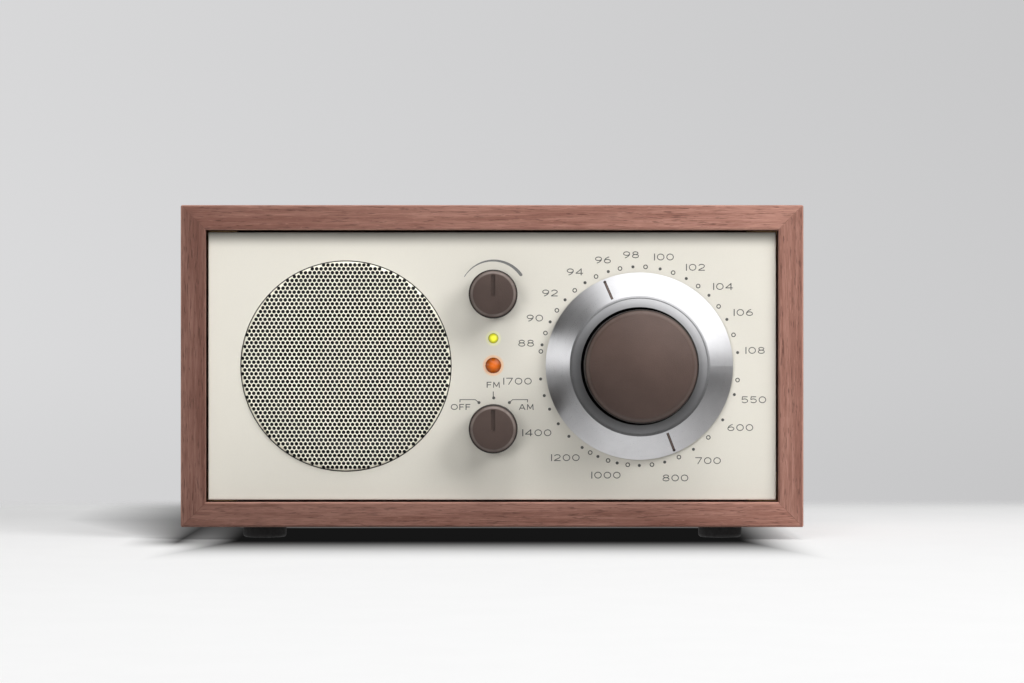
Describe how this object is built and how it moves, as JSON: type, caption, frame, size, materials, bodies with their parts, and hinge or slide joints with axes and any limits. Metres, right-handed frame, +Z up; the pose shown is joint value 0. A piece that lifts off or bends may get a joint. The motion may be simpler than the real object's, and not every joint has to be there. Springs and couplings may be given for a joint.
{
  "type": "table radio",
  "caption": "Table radio in a mitred wooden case with a round perforated grille, two small knobs, two lamps and a large geared tuning dial.",
  "frame": {"origin": "on the table, under the middle of the whole box with its knobs and sockets", "axes": "+X to the right as seen from the front, -Y out of the front panel, +Z up"},
  "size_m": [0.2126, 0.1334, 0.1143],
  "materials": {
    "walnut": "satin",
    "block_wood": "matte",
    "foot_rubber": "matte",
    "port_plastic": "matte",
    "panel_cream": "satin",
    "rear_plastic": "matte",
    "screw_steel": "satin",
    "grille_metal": "satin",
    "gasket_foam": "matte",
    "basket_steel": "satin",
    "surround_rubber": "matte",
    "cone_paper": "matte",
    "cap_paper": "matte",
    "copper_wire": "satin",
    "spider_cloth": "matte",
    "plated_steel": "satin",
    "ferrite": "matte",
    "small_knob_brown": "satin",
    "shaft_metal": "satin",
    "switch_phenolic": "matte",
    "nut_nickel": "satin",
    "tuned_lens": "gloss",
    "power_lens": "gloss",
    "tuning_knob_brown": "satin",
    "dial_silver": "satin",
    "gear_brass": "satin",
    "gear_nylon": "satin",
    "housing_plastic": "matte",
    "capacitor_clear": "gloss",
    "board_green": "satin",
    "standoff_nylon": "matte",
    "can_tin": "satin",
    "sleeve_blue": "satin",
    "lamination": "matte",
    "winding_tape": "satin"
  },
  "bodies": {
    "cabinet": {"cabinet_top": "walnut", "cabinet_bottom": "walnut", "cabinet_left_side": "walnut", "cabinet_right_side": "walnut", "corner_blocks": "block_wood", "feet": "foot_rubber", "bass_port": "port_plastic", "front_panel": "panel_cream", "rear_panel": "rear_plastic", "panel_screws": "screw_steel", "speaker_grille": "grille_metal", "speaker_gasket": "gasket_foam", "speaker_basket": "basket_steel", "speaker_surround": "surround_rubber", "spider": "spider_cloth", "magnet_front_plate": "plated_steel", "magnet_ring": "ferrite", "magnet_yoke": "plated_steel", "speaker_screws": "screw_steel", "volume_potentiometer": "plated_steel", "mode_switch": "switch_phenolic", "control_nuts": "nut_nickel", "tuning_lamp": "tuned_lens", "power_lamp": "power_lens", "gear_housing": "housing_plastic", "gear_cover": "housing_plastic", "gear_screws": "screw_steel", "tuning_capacitor": "capacitor_clear", "circuit_board": "board_green", "board_standoffs": "standoff_nylon", "chassis_screws": "screw_steel", "if_cans": "can_tin", "board_capacitors": "sleeve_blue", "ferrite_rod": "ferrite", "antenna_coil": "copper_wire", "rod_clips": "standoff_nylon", "transformer_core": "lamination", "transformer_winding": "winding_tape", "audio_jacks": "rear_plastic", "dc_jack": "rear_plastic", "mains_inlet": "rear_plastic", "antenna_socket": "nut_nickel", "antenna_switch": "plated_steel"},
    "cone": {"speaker_cone": "cone_paper", "dust_cap": "cap_paper", "voice_coil": "copper_wire"},
    "volume": {"volume_knob": "small_knob_brown", "volume_shaft": "shaft_metal"},
    "mode": {"mode_knob": "small_knob_brown", "mode_shaft": "shaft_metal"},
    "tuner": {"tuning_knob": "tuning_knob_brown", "input_shaft": "shaft_metal"},
    "dial": {"dial_ring": "dial_silver", "carrier_front": "gear_brass", "carrier_rear": "gear_brass"},
    "planet_1": {"planet_gear_1": "gear_nylon"},
    "planet_2": {"planet_gear_2": "gear_nylon"},
    "planet_3": {"planet_gear_3": "gear_nylon"},
    "antenna_slide": {"antenna_slider": "rear_plastic"}
  },
  "joints": [
    {"name": "cone_travel", "type": "slide", "parent": "cabinet", "child": "cone", "axis": [0, 1, 0], "range_m": [-0.0015, 0.0015], "stiffness_N_per_m": 1400, "deforming": ["speaker_surround", "spider"]},
    {"name": "volume_turn", "type": "hinge", "parent": "cabinet", "child": "volume", "pos_m": [0.0004, -0.0422, 0.0838], "axis": [0, 1, 0], "range_deg": [-150, 150]},
    {"name": "mode_turn", "type": "hinge", "parent": "cabinet", "child": "mode", "pos_m": [0.0004, -0.0422, 0.038], "axis": [0, 1, 0], "range_deg": [-30, 30]},
    {"name": "tuning_turn", "type": "hinge", "parent": "cabinet", "child": "tuner", "pos_m": [0.0503, -0.0422, 0.0593], "axis": [0, 1, 0], "range_deg": [-303, 532]},
    {"name": "dial_turn", "type": "hinge", "parent": "cabinet", "child": "dial", "pos_m": [0.0503, -0.0422, 0.0593], "axis": [0, 1, 0], "range_deg": [-60.6, 106.4]},
    {"name": "planet_1_spin", "type": "hinge", "parent": "dial", "child": "planet_1", "pos_m": [0.0503, -0.0326, 0.0698], "axis": [0, 1, 0], "range_deg": [-283.8, 161.7]},
    {"name": "planet_2_spin", "type": "hinge", "parent": "dial", "child": "planet_2", "pos_m": [0.04121, -0.0326, 0.05405], "axis": [0, 1, 0], "range_deg": [-283.8, 161.7]},
    {"name": "planet_3_spin", "type": "hinge", "parent": "dial", "child": "planet_3", "pos_m": [0.05939, -0.0326, 0.05405], "axis": [0, 1, 0], "range_deg": [-283.8, 161.7]},
    {"name": "antenna_select", "type": "slide", "parent": "cabinet", "child": "antenna_slide", "axis": [1, 0, 0], "range_m": [0, 0.0025]}
  ],
  "couplings": [
    {"joint": "dial_turn", "follows": "tuning_turn", "ratio": 0.2},
    {"joint": "planet_1_spin", "follows": "tuning_turn", "ratio": -0.53333},
    {"joint": "planet_2_spin", "follows": "tuning_turn", "ratio": -0.53333},
    {"joint": "planet_3_spin", "follows": "tuning_turn", "ratio": -0.53333}
  ]
}
